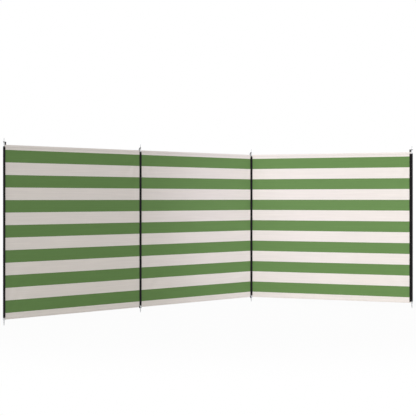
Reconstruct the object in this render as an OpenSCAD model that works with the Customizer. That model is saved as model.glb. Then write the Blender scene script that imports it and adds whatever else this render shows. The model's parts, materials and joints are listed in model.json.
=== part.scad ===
// Beach windbreak: three striped cloth bays hung on four staked poles.
// Two bays stand in line and the last one turns towards the sheltered side.
// Z is zero at the tips of the ground spikes, and pole 3 stands on the Z axis.

/* [Layout] */
// Distance between the axes of neighbouring poles
bay_pitch = 1800; // [1200:10:2400]
// Turn of the last bay towards the sheltered side, from straight on, in degrees
corner_turn = 81.9; // [0:0.1:90]

/* [Cloth] */
// Height of the cloth from hem to hem
cloth_h = 1495; // [1000:5:1800]
// Thickness of the cloth
cloth_t = 1; // [0.6:0.1:1.6]
// Depth of the folded top and bottom hems
hem_h = 20; // [16:1:30]
// Thickness of the folded hems
hem_t = 2.2; // [1.8:0.1:4]
// Height of one stripe
stripe_h = 107.5; // [60:0.5:160]
// Pale cloth above the first green stripe
top_margin = 42.5; // [35:0.5:90]

/* [Edge bindings] */
// Width of the tape that binds a side edge of the cloth
binding_w = 6; // [4:0.5:25]
// Width of the tape that binds the free side edge of the last bay
end_binding_w = 15; // [4:0.5:40]
// Thickness of one layer of the tape
binding_t = 0.6; // [0.3:0.1:1]

/* [Sleeves] */
// Thickness of the fabric sleeve round a pole
sleeve_t = 0.6; // [0.4:0.1:1.5]
// Slack between a pole and its sleeve, on the radius
sleeve_slack = 0.2; // [0.1:0.05:0.5]
// Room between a sleeve and the side edges that turn about it
turn_gap = 0.3; // [0.2:0.05:0.6]

/* [Pole tubes] */
// Outside diameter of a tube
tube_d = 16.5; // [14.5:0.5:22]
// Wall of a tube
tube_wall = 0.8; // [0.6:0.1:1.4]
// Length of tube that stands out of the sleeve at each end
tube_proud = 4; // [1:0.5:10]

/* [End bushes] */
// Thickness of the flange that caps the tube
bush_flange_t = 3; // [2:0.5:6]
// Length of the bush inside the tube
bush_len = 28; // [20:1:50]
// Slack of the bush in the tube and of the tang in the bush, on the radius
bush_slack = 0.1; // [0.05:0.05:0.2]

/* [Turned ends] */
// Diameter of the tang inside the bush
tang_d = 9; // [6:0.5:9.5]
// Length of the tang inside the bush
tang_len = 24; // [15:1:28]
// Depth of the neck that a loop or an eye lies in, on the radius
neck_depth = 0.3; // [0.2:0.1:0.6]
// Edge chamfer of the collars, seats and feet
edge_chamfer = 0.5; // [0.2:0.1:0.7]

/* [Top pins] */
// Diameter of the collar that stands on the bush
collar_d = 13; // [11:0.5:14]
// Thickness of the collar
collar_t = 2; // [1:0.5:4]
// Thickness of the seat that a loop or an eye rests on
seat_t = 2.5; // [1.5:0.5:5]
// Length of a top pin above its bush
pin_reach = 72; // [60:1:120]
// Height of the loop seat above the bush
pin_seat_h = 35; // [30:1:45]
// Diameter of the shank below the seat
pin_shank_d = 9; // [6:0.5:10]
// Diameter of the seat
pin_seat_d = 12; // [11:0.5:13]
// Diameter of the free pin above the loop
pin_d = 6; // [5:0.5:8]
// Height of the tapered tip
pin_tip_h = 4; // [2:0.5:10]
// Diameter of the flat at the tip
pin_tip_d = 3; // [2:0.5:4]

/* [Ground spikes] */
// Length of a spike below its bush
spike_reach = 64; // [55:1:200]
// Height of the stout foot under the bush
foot_h = 18; // [12:0.5:24]
// Step of the foot in from the outside of the sleeve
foot_step = 0.1; // [0:0.1:1.5]
// Diameter of the spike below the foot
spike_d = 12; // [8:0.5:13]
// Height of the tapered point
spike_tip_h = 34; // [12:1:36]
// Diameter of the flat at the point
spike_tip_d = 4; // [2:0.5:6]

/* [Eye tabs] */
// Outside diameter of the eye
eye_d = 18; // [16:0.5:20]
// Height of the eye
eye_h = 4; // [3:0.5:4.5]
// Width of the tail at the head of an end pole
head_tail_w = 16; // [10:1:24]
// Width of the tail at the foot of a middle pole
foot_tail_w = 11; // [8:1:16]
// Thickness of a tail
tail_t = 2.4; // [1.6:0.2:4]
// Length of tail sewn down on the hem
tail_sewn = 13; // [8:1:15]
// Distance from the side edge of the cloth to a tail
tail_inset = 1.2; // [0.6:0.2:6]
// Corner radius of a tail
tail_corner_r = 3; // [1:0.5:4]

/* [Tension loops] */
// Diameter of the elastic cord
cord_d = 4; // [3:0.5:4.5]
// Play of the cord on its seat and beside the hem
cord_play = 0.3; // [0.2:0.05:0.5]
// Distance from the side edge of the cloth to the sewn ends of a loop
loop_inset = 8.5; // [6:0.5:20]
// Length of cord sewn down on the hem
loop_sewn = 12; // [8:1:14]
// Gap between the two strands of a loop where they run closest
strand_gap = 0.6; // [0.4:0.1:2]

/* [Hidden] */
$fn = 64;
green_cloth = [0.42, 0.55, 0.33];
pale_cloth = [0.93, 0.90, 0.88];
black_cloth = [0.08, 0.08, 0.08];
black_paint = [0.10, 0.10, 0.11];
black_nylon = [0.13, 0.13, 0.13];
zinc = [0.74, 0.75, 0.76];

// Levels, from the tips of the spikes upwards
bush_low_z = spike_reach;
tube_low_z = bush_low_z + bush_flange_t;
sleeve_low_z = tube_low_z + tube_proud;
cloth_low_z = sleeve_low_z - hem_h;
cloth_high_z = cloth_low_z + cloth_h;
sleeve_high_z = cloth_high_z - hem_h;
tube_high_z = sleeve_high_z + tube_proud;
bush_high_z = tube_high_z + bush_flange_t;

// Radii about a pole's axis
tube_r = tube_d / 2;
bore_r = tube_r - tube_wall;
sleeve_bore_r = tube_r + sleeve_slack;
sleeve_r = sleeve_bore_r + sleeve_t;
foot_r = sleeve_r - foot_step;
edge_x = sleeve_r + turn_gap;
cloth_x = edge_x + binding_t;

// Plan of the run: pole positions and the direction of each bay
turn_dir = [cos(corner_turn), -sin(corner_turn), 0];
poles = [[-2 * bay_pitch, 0, 0], [-bay_pitch, 0, 0], [0, 0, 0], bay_pitch * turn_dir];
bay_angles = [0, 0, -corner_turn];

// Stripes, counted down from the top margin
green_count = floor((cloth_h - top_margin + stripe_h) / (2 * stripe_h));
stripe_count = 2 * green_count - 1;
first_stripe_z = cloth_high_z - top_margin;
bottom_margin = cloth_h - top_margin - stripe_count * stripe_h;

// Tension loops
cord_r = cord_d / 2;
cord_sides = 8;
wrap_step = 22.5;
strand_steps = 8;
ear_power = 0.8;
neck_h = cord_d + 4 * cord_play;
strand_n = cord_r + strand_gap / 2;
sewn_n = hem_t / 2 + cord_play + cord_r;
loop_foot_x = cloth_x + loop_inset;
head_loop_z = bush_high_z + pin_seat_h + cord_play + cord_r;

// Eye tabs
eye_r = eye_d / 2;
tail_y = hem_t / 2 + cord_play;
tail_x = cloth_x + tail_inset;
head_eye_z = bush_high_z + pin_seat_h + cord_play + eye_h / 2;
foot_eye_z = bush_low_z - foot_h - cord_play - eye_h / 2;

// Places its children on the axis of a pole
module at_pole(pole) {
    translate(poles[pole - 1]) children();
}

// Places its children with X along a bay, from the bay's first pole
module along_bay(bay) {
    translate(poles[bay - 1]) rotate([0, 0, bay_angles[bay - 1]]) children();
}

// Places its children on a pole with X towards the bay whose corner carries its loops
module towards_loop_bay(pole) {
    angle = pole == 1 ? bay_angles[0] : bay_angles[pole - 2] + 180;
    at_pole(pole) rotate([0, 0, angle]) children();
}

// Tube of a pole, open at both ends
module pole_tube(pole) {
    color(black_paint) at_pole(pole) translate([0, 0, tube_low_z])
        linear_extrude(tube_high_z - tube_low_z) difference() {
            circle(tube_r);
            circle(bore_r);
        }
}

// One bush, flange up, with Z zero where the flange stands on the tube
module bush() {
    spigot_r = bore_r - bush_slack;
    hole_r = tang_d / 2 + bush_slack;
    lead_in = 1;
    rotate_extrude() polygon([
        [hole_r, -bush_len], [spigot_r - lead_in / 2, -bush_len], [spigot_r, lead_in - bush_len],
        [spigot_r, 0], [tube_r, 0], [tube_r, bush_flange_t - edge_chamfer],
        [tube_r - edge_chamfer, bush_flange_t], [hole_r, bush_flange_t]
    ]);
}

// The two bushes that close a pole
module end_bushes(pole) {
    color(black_nylon) at_pole(pole) {
        translate([0, 0, tube_high_z]) bush();
        translate([0, 0, tube_low_z]) mirror([0, 0, 1]) bush();
    }
}

// Half section of the tang that a turned end has inside its bush, with Z zero on the bush
function tang_section() = let (tang_r = tang_d / 2) [
    [0, -tang_len], [tang_r - edge_chamfer, -tang_len], [tang_r, edge_chamfer - tang_len], [tang_r, 0]
];

// Half section of the free end past a neck that starts at the given height
function free_section(neck_low, reach, free_d, tip_h, tip_d) = let (
    free_r = free_d / 2,
    neck_r = free_r - neck_depth
) [
    [neck_r, neck_low], [neck_r, neck_low + neck_h], [free_r, neck_low + neck_h],
    [free_r, reach - tip_h], [tip_d / 2, reach], [0, reach]
];

// Pin at the head of a pole: tang, collar, shank, seat, neck and free pin
module top_pin(pole) {
    collar_r = collar_d / 2;
    shank_r = pin_shank_d / 2;
    seat_r = pin_seat_d / 2;
    seat_low = pin_seat_h - seat_t;
    color(zinc) at_pole(pole) translate([0, 0, bush_high_z]) rotate_extrude() polygon(concat(
        tang_section(),
        [[collar_r, 0], [collar_r, collar_t - edge_chamfer], [collar_r - edge_chamfer, collar_t]],
        [[shank_r, collar_t], [shank_r, seat_low], [seat_r - edge_chamfer, seat_low]],
        [[seat_r, seat_low + edge_chamfer], [seat_r, pin_seat_h]],
        free_section(pin_seat_h, pin_reach, pin_d, pin_tip_h, pin_tip_d)
    ));
}

// Spike at the foot of a pole: tang, stout foot, neck and free spike
module ground_spike(pole) {
    color(zinc) at_pole(pole) translate([0, 0, bush_low_z]) mirror([0, 0, 1])
        rotate_extrude() polygon(concat(
            tang_section(),
            [[foot_r - edge_chamfer, 0], [foot_r, edge_chamfer]],
            [[foot_r, foot_h - edge_chamfer], [foot_r - edge_chamfer, foot_h]],
            free_section(foot_h, spike_reach, spike_d, spike_tip_h, spike_tip_d)
        ));
}

// Fabric sleeve round a pole
module sleeve(pole) {
    color(black_cloth) at_pole(pole) translate([0, 0, sleeve_low_z])
        linear_extrude(sleeve_high_z - sleeve_low_z) difference() {
            circle(sleeve_r);
            circle(sleeve_bore_r);
        }
}

function unit(v) = v / norm(v);

// Route of a loop with its centre on the pin at zero height and the hem's edge at -drop:
// up one face of the hem, round the neck and down the other face
function loop_route(wrap_r, drop) = let (
    strand = [for (i = [1 : strand_steps]) let (t = i / strand_steps) [
        loop_foot_x * pow(sin(90 * t), ear_power),
        strand_n + (wrap_r - strand_n) * pow(1 - t, 2) + (sewn_n - strand_n) * pow(t, 3),
        -drop * (1 - pow(cos(90 * t), ear_power))
    ]],
    one_side = concat(strand, [[loop_foot_x, sewn_n, -drop - loop_sewn]]),
    last = len(one_side) - 1
) concat(
    [for (i = [last : -1 : 0]) [one_side[i][0], -one_side[i][1], one_side[i][2]]],
    [for (a = [-90 : wrap_step : 90]) [-wrap_r * cos(a), wrap_r * sin(a), 0]],
    one_side
);

// Round cord swept along a route
module cord(route) {
    last = len(route) - 1;
    skew = [1, 1, 1];
    tangents = [for (i = [0 : last]) unit(route[min(i + 1, last)] - route[max(i - 1, 0)])];
    points = [for (i = [0 : last]) let (
        u = unit(cross(tangents[i], skew)),
        v = cross(tangents[i], u)
    ) for (k = [0 : cord_sides - 1]) let (a = 360 * k / cord_sides)
        route[i] + cord_r * (cos(a) * u + sin(a) * v)];
    walls = [for (i = [0 : last - 1]) for (k = [0 : cord_sides - 1]) let (next = (k + 1) % cord_sides) [
        i * cord_sides + k, (i + 1) * cord_sides + k,
        (i + 1) * cord_sides + next, i * cord_sides + next
    ]];
    first_cap = [for (k = [0 : cord_sides - 1]) k];
    last_cap = [for (k = [cord_sides - 1 : -1 : 0]) last * cord_sides + k];
    polyhedron(points, concat(walls, [first_cap, last_cap]));
}

// Moulded tab with the middle of its eye at zero and the hem's edge at -drop:
// the eye drops over a pin and the tail is sewn to the face of the hem on the +Y side
module eye_tab(free_d, drop, tail_w) {
    hole_r = free_d / 2 + cord_play;
    far_x = tail_x + tail_w;
    far_y = tail_y + tail_t;
    tail_low = -drop - tail_sewn;
    translate([0, 0, -eye_h / 2]) linear_extrude(eye_h) difference() {
        union() {
            circle(eye_r);
            polygon([
                [0, -eye_r], [tail_x, tail_y], [far_x, tail_y],
                [far_x, far_y], [tail_x, far_y], [0, eye_r]
            ]);
        }
        circle(hole_r);
    }
    translate([0, far_y, 0]) rotate([90, 0, 0]) linear_extrude(tail_t) {
        translate([tail_x, tail_low + tail_corner_r])
            square([tail_w, eye_h / 2 - tail_low - tail_corner_r]);
        translate([tail_x + tail_corner_r, tail_low])
            square([tail_w - 2 * tail_corner_r, tail_corner_r]);
        translate([tail_x + tail_corner_r, tail_low + tail_corner_r]) circle(tail_corner_r);
        translate([far_x - tail_corner_r, tail_low + tail_corner_r]) circle(tail_corner_r);
    }
}

// Fastenings of a cloth corner to a pole: at an end pole an eye tab at the head, sewn behind the hem,
// and at a middle pole a loop of elastic cord at the head and an eye tab in front at the foot
module tension_loops(pole) {
    end_pole = pole == 1 || pole == len(poles);
    pin_wrap_r = pin_d / 2 - neck_depth + cord_play + cord_r;
    color(black_nylon) towards_loop_bay(pole) {
        if (end_pole)
            translate([0, 0, head_eye_z]) mirror([0, pole == 1 ? 0 : 1, 0])
                eye_tab(pin_d, head_eye_z - cloth_high_z, head_tail_w);
        if (!end_pole)
            translate([0, 0, head_loop_z]) cord(loop_route(pin_wrap_r, head_loop_z - cloth_high_z));
        if (!end_pole)
            translate([0, 0, foot_eye_z]) mirror([0, 0, 1])
                eye_tab(spike_d, cloth_low_z - foot_eye_z, foot_tail_w);
    }
}

// Level band of a bay's cloth
module cloth_band(low_z, height, thickness) {
    translate([cloth_x, -thickness / 2, low_z])
        cube([bay_pitch - 2 * cloth_x, thickness, height]);
}

// Striped cloth of a bay with its folded hems
module cloth_panel(bay) {
    along_bay(bay) {
        color(pale_cloth) {
            cloth_band(first_stripe_z, top_margin, cloth_t);
            cloth_band(cloth_low_z, bottom_margin, cloth_t);
            cloth_band(cloth_high_z - hem_h, hem_h, hem_t);
            cloth_band(cloth_low_z, hem_h, hem_t);
        }
        for (i = [1 : stripe_count])
            color(i % 2 == 1 ? green_cloth : pale_cloth)
                cloth_band(first_stripe_z - i * stripe_h, stripe_h, cloth_t);
    }
}

// Tape folded round a side edge of the cloth, with X zero at the edge's sleeve
module edge_binding(width) {
    outer_t = cloth_t + 2 * binding_t;
    translate([0, 0, sleeve_low_z]) linear_extrude(sleeve_high_z - sleeve_low_z) difference() {
        translate([edge_x, -outer_t / 2]) square([width, outer_t]);
        translate([cloth_x, -cloth_t / 2]) square([width, cloth_t]);
    }
}

// Tapes on both side edges of a bay
module edge_bindings(bay) {
    far_w = bay == len(bay_angles) ? end_binding_w : binding_w;
    color(black_cloth) along_bay(bay) {
        edge_binding(binding_w);
        translate([bay_pitch, 0, 0]) mirror([1, 0, 0]) edge_binding(far_w);
    }
}

pole_tube(1);  // pole_tube_1
pole_tube(2);  // pole_tube_2
pole_tube(3);  // pole_tube_3
pole_tube(4);  // pole_tube_4
end_bushes(1);  // end_bushes_1
end_bushes(2);  // end_bushes_2
end_bushes(3);  // end_bushes_3
end_bushes(4);  // end_bushes_4
top_pin(1);  // top_pin_1
top_pin(2);  // top_pin_2
top_pin(3);  // top_pin_3
top_pin(4);  // top_pin_4
ground_spike(1);  // ground_spike_1
ground_spike(2);  // ground_spike_2
ground_spike(3);  // ground_spike_3
ground_spike(4);  // ground_spike_4
sleeve(1);  // sleeve_1
sleeve(2);  // sleeve_2
sleeve(3);  // sleeve_3
sleeve(4);  // sleeve_4
tension_loops(1);  // tension_loops_1
tension_loops(2);  // tension_loops_2
tension_loops(3);  // tension_loops_3
tension_loops(4);  // tension_loops_4
cloth_panel(1);  // cloth_panel_1
cloth_panel(2);  // cloth_panel_2
cloth_panel(3);  // cloth_panel_3
edge_bindings(1);  // edge_bindings_1
edge_bindings(2);  // edge_bindings_2
edge_bindings(3);  // edge_bindings_3
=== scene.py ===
"""Looks of a beach windbreak: striped cloth bays, sleeved poles, turned pole ends, elastic loops and eye tabs."""

import json
import math

import bmesh
import bpy
from mathutils import Matrix, Vector, noise

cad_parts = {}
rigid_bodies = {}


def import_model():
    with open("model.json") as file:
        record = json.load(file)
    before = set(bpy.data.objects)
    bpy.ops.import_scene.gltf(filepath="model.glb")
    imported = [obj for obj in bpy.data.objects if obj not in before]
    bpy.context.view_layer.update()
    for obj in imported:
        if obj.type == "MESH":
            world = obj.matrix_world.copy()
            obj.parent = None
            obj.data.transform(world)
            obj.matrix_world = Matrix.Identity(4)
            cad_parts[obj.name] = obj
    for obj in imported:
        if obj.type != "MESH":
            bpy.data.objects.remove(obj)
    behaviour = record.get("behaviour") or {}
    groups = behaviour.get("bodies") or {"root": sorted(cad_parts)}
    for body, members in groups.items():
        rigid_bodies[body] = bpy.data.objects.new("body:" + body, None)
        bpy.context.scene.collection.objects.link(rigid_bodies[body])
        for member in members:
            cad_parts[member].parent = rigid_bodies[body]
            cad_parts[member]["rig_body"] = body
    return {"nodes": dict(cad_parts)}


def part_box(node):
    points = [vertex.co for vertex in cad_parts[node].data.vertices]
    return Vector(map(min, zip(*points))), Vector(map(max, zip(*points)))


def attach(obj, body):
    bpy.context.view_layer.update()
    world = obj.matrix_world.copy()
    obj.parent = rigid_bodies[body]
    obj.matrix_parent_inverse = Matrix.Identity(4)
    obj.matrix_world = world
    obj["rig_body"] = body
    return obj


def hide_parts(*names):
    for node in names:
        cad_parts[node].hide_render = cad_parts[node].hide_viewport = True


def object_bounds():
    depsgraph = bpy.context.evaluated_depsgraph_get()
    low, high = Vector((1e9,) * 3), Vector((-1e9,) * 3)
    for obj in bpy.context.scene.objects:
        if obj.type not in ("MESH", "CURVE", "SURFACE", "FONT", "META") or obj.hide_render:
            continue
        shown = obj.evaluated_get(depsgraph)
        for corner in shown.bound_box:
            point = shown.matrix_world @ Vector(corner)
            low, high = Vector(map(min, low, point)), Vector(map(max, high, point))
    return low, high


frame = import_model()
CAD_LOW, CAD_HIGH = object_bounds()

bl_info = {
    "name": "Beach Windbreak",
    "version": (1, 0, 0),
    "blender": (4, 5, 0),
    "location": "3D View > Sidebar > Windbreak",
    "description": "Dresses the packed windbreak with cloth, tape, cord and turned metal",
    "category": "Add Mesh",
}

MM = 0.001
UP = Vector((0, 0, 1))
ALONG = Vector((1, 0, 0))
UPSIDE_DOWN = Matrix.Diagonal((1, 1, -1, 1))
POLES = (1, 2, 3, 4)
BAYS = (1, 2, 3)


def shade(red, green, blue):
    """A colour given as it looks on a screen, from 0 to 255, as light."""
    parts = [c / 255 for c in (red, green, blue)]
    return tuple(c / 12.92 if c <= 0.04045 else ((c + 0.055) / 1.055) ** 2.4 for c in parts)


def number(name, description, default, **limits):
    """A number that a user may change."""
    return bpy.props.FloatProperty(name=name, description=description, default=default, **limits)


def numbers(name, description, *default, **limits):
    """A place, direction or pair of numbers that a user may change."""
    return bpy.props.FloatVectorProperty(
        name=name, description=description, default=default, size=len(default), **limits,
    )


def size(name, description, default, low, high):
    """A length that a user may change, given here in millimetres and kept in metres."""
    return number(
        name, description, default * MM, min=low * MM, max=high * MM, subtype="DISTANCE", unit="LENGTH", precision=5,
    )


def colour(name, description, *rgb):
    """A colour that a user may change."""
    return numbers(name, description, *shade(*rgb), min=0, max=1, subtype="COLOR")


def middle_of(node):
    """The point at ground level under the middle of a CAD node."""
    low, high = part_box(node)
    return Vector(((low.x + high.x) / 2, (low.y + high.y) / 2, 0))


def frame_between(start, end):
    """Place with X from one pole to the next, -Y on the sheltered side, Z up."""
    run = end - start
    return Matrix.Translation(start) @ Matrix.Rotation(math.atan2(run.y, run.x), 4, "Z")


FOOT = {pole: middle_of(f"pole_tube_{pole}") for pole in POLES}
BAY = {bay: frame_between(FOOT[bay], FOOT[bay + 1]) for bay in BAYS}
TURN = {bay: BAY[bay].to_euler().z for bay in BAYS}
PITCH = (FOOT[2] - FOOT[1]).length
PANEL, SLEEVE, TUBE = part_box("cloth_panel_2"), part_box("sleeve_3"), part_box("pole_tube_3")
CLOTH_LOW, CLOTH_HIGH = PANEL[0].z, PANEL[1].z
CLOTH_X = PANEL[0].x - FOOT[2].x
CLOTH_W, CLOTH_H = PITCH - 2 * CLOTH_X, CLOTH_HIGH - CLOTH_LOW
EDGE_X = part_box("edge_bindings_2")[0].x - FOOT[2].x
HEM_T = PANEL[1].y - PANEL[0].y
SLEEVE_LOW, SLEEVE_HIGH = SLEEVE[0].z, SLEEVE[1].z
SLEEVE_H = SLEEVE_HIGH - SLEEVE_LOW
SLEEVE_R = SLEEVE[1].x - FOOT[3].x
TUBE_LOW, TUBE_HIGH = TUBE[0].z, TUBE[1].z
TUBE_R = TUBE[1].x - FOOT[3].x
BUSH_T = 3 * MM
BUSH_LOW, BUSH_HIGH = TUBE_LOW - BUSH_T, TUBE_HIGH + BUSH_T
PIN_R, SPIKE_R = 3 * MM, 6 * MM
PIN_SEAT, FOOT_H = 35 * MM, 18 * MM
PLAY = 0.3 * MM
# Spacing of the stitches of a cloth hem, of a seam, and of a tab or sleeve hem, as shares of a stitch.
HEM_SPACING, SEAM_SPACING, CLOSE_SPACING = 1.3, 1.35, 1.2
# Half width and half height of a stitch's thread.
THREAD_W, THREAD_H = 0.33 * MM, 0.28 * MM
# Height of one row of faces of a tape and of a sleeve.
TAPE_ROW, SLEEVE_ROW = 12 * MM, 9 * MM
# Facets round a sleeve, a cord, the eye of a tab and a turned pole end.
SLEEVE_SIDES, CORD_SIDES, EYE_SIDES, TURNED_SIDES = 40, 14, 48, 40
# Radius of the floor and size of the soft lamps in metres, and width of the camera's sensor in millimetres.
FLOOR_R, LAMP_R, SENSOR_W = 60, 0.5, 36
# Long creases of a bay: start and end on the cloth, width and height.
CREASES = {
    2: (
        (Vector((1.28, 0.19)), Vector((1.80, 0.315)), 32 * MM, -4.5 * MM),
        (Vector((0.42, 0.92)), Vector((1.84, 1.00)), 45 * MM, -5 * MM),
    ),
}
# Colours of the lamps.
KEY_TINT, CORNER_TINT, LAST_BAY_TINT = (1.0, 0.992, 1.0), (0.88, 0.83, 1.0), (0.55, 0.35, 1.0)


class WindbreakCloth(bpy.types.PropertyGroup):
    """Sizes and colours of the striped cloth"""

    green: colour("Green stripe", "Dyed yarn of the green stripes", 110, 144, 87)
    pale: colour("Pale stripe", "Undyed yarn of the pale stripes and margins", 242, 235, 229)
    thread: colour("Hem thread", "Thread of the hems", 214, 208, 200)
    thickness: size("Thickness", "Thickness of the single cloth", 0.8, 0.2, 2)
    hem: size("Hem", "Depth of the top and bottom hems", 20, 5, 40)
    stripe: size("Stripe", "Height of one stripe", 107.5, 20, 300)
    margin: size("Top margin", "Pale cloth above the first green stripe", 42.5, 5, 200)
    yarn: size("Yarn pitch", "Distance between neighbouring yarns", 0.9, 0.2, 4)
    billow: size("Billow", "How far the middle of a bay stands out to the sheltered side", 4, 0, 40)
    ripple: size("Ripple", "Height of the soft level folds between the poles", 1.3, 0, 10)
    pucker: size("Pucker", "Height of the small folds beside the seams", 0.8, 0, 5)
    grid: size("Grid", "Spacing of the cloth's mesh", 14, 4, 60)
    stitch: size("Stitch", "Length of one hem stitch", 3.0, 1, 8)


class WindbreakTrim(bpy.types.PropertyGroup):
    """Sizes and colours of the sleeves, edge tapes, loops and eye tabs"""

    black: colour("Black fabric", "Woven sleeves and edge tapes", 17, 16, 18)
    cord: colour("Elastic cord", "Braided cover of the loops", 20, 19, 20)
    thread: colour("Black thread", "Thread of the tapes, sleeves and loops", 36, 35, 37)
    tape_t: size("Tape", "Thickness of one layer of tape", 0.6, 0.2, 2)
    tape_w: size("Tape width", "Width of the tape beside a pole that two bays share", 6, 2, 40)
    end_tape_w: size("End tape width", "Width of the tape at the free edge of the last bay", 16.5, 2, 60)
    tape_over: size("Tape overlap", "How far the tape at the free edge runs over the bottom hem", 9, 0, 15)
    sleeve_t: size("Sleeve", "Thickness of the sleeve fabric", 0.5, 0.2, 2)
    sleeve_hem: size("Sleeve hem", "Depth of the hem at each end of a sleeve", 12, 2, 40)
    cord_d: size("Cord", "Diameter of the elastic cord", 4, 1, 10)
    braid: size("Braid", "Pitch of the braided cover", 2.4, 0.5, 10)
    stitch: size("Stitch", "Length of one stitch", 2.8, 1, 8)
    eye_d: size("Eye", "Outside diameter of the eye of a tab", 18, 8, 30)
    eye_h: size("Eye height", "Height of the eye of a tab", 4, 1, 10)
    head_tail_w: size("Head tail", "Width of a tab's tail at the head of an end pole", 16, 6, 40)
    foot_tail_w: size("Foot tail", "Width of a tab's tail at the foot of a middle pole", 11, 6, 40)
    tail_t: size("Tail thickness", "Thickness of a tab's tail", 2.4, 1, 6)
    tail_sewn: size("Tail sewn", "Length of tail sewn to the hem", 13, 4, 40)
    tail_inset: size("Tail inset", "Distance from the side edge of the cloth to a tail", 1.2, 0, 20)
    tail_corner: size("Tail corner", "Corner radius of a tail", 3, 0.5, 8)


class WindbreakMetal(bpy.types.PropertyGroup):
    """Colours and edges of the poles and their ends"""

    zinc: colour("Zinc plate", "Plated steel of the pins and spikes", 184, 185, 187)
    coat: colour("Pole coat", "Satin coat of the tubes", 28, 28, 30)
    nylon: colour("Bush", "Moulded nylon of the end bushes and eye tabs", 17, 17, 18)
    edge: size("Edge", "Rounding of the turned edges", 0.25, 0.05, 1)
    wear: number(
        "Wear", "How much of the plate and coat is rubbed at the ends", 0.4, min=0, max=1, subtype="FACTOR",
    )


class WindbreakStage(bpy.types.PropertyGroup):
    """Camera, light and floor"""

    eye: numbers("Camera", "Place of the camera", -12.2126, -8.8435, 1.0874, subtype="XYZ", unit="LENGTH")
    yaw: number("Yaw", "Direction that the camera looks in, from +X", math.radians(37.806), subtype="ANGLE")
    shift: numbers("Shift", "Shift of the level camera's picture, as shares of its width", 0.01, -0.02307)
    lens: number("Lens", "Focal length in millimetres on a 36 mm sensor", 123.79, min=10, max=400)
    floor: colour("Floor", "Pale studio floor", 205, 203, 200)
    sky: number("Ambient", "Light from all round", 0.555, min=0, max=4)
    key: number("Key", "Soft light from the front left", 1.75, min=0, max=20)
    key_from: numbers("Key from", "Direction that the key light comes from", -0.93, -0.28, 0.30, subtype="XYZ")
    key_width: number("Key width", "Angle that the key light fills", math.radians(60), subtype="ANGLE")
    fill: number("Fill", "Soft light into the corner", 0.262, min=0, max=10)
    fill_from: numbers("Fill from", "Place of the corner light", -0.6, -8.0, 1.6, subtype="XYZ", unit="LENGTH")
    fill_reach: size("Fill reach", "Radius that the corner light covers round the corner pole", 1950, 200, 20000)
    last_fill: number("Last bay fill", "Soft light on the last bay by the corner", 0.06, min=0, max=10)
    last_from: numbers(
        "Last bay fill from", "Place of the last bay's light", -6.0, -1.5, 1.5, subtype="XYZ", unit="LENGTH",
    )
    last_reach: size("Last bay fill reach", "Radius that the last bay's light covers", 1400, 200, 20000)


def worked_out(operation, swapped=False):
    """An operator of readings that adds a Math node."""
    def combine(self, other):
        return self.math(operation, other, swapped=swapped)
    return combine


class Reading:
    """One value that a finish's nodes work out; sums, products and tests of readings add Math nodes."""

    def __init__(self, finish, socket):
        self.finish = finish
        self.socket = socket

    def math(self, operation, *others, swapped=False):
        values = (*others, self) if swapped else (self, *others)
        return self.finish.node("ShaderNodeMath", {"operation": operation}, dict(enumerate(values)))

    __add__ = __radd__ = worked_out("ADD")
    __mul__ = __rmul__ = worked_out("MULTIPLY")
    __sub__, __rsub__ = worked_out("SUBTRACT"), worked_out("SUBTRACT", True)
    __truediv__, __rtruediv__ = worked_out("DIVIDE"), worked_out("DIVIDE", True)
    __mod__ = worked_out("FLOORED_MODULO")
    __lt__, __gt__ = worked_out("LESS_THAN"), worked_out("GREATER_THAN")


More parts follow.
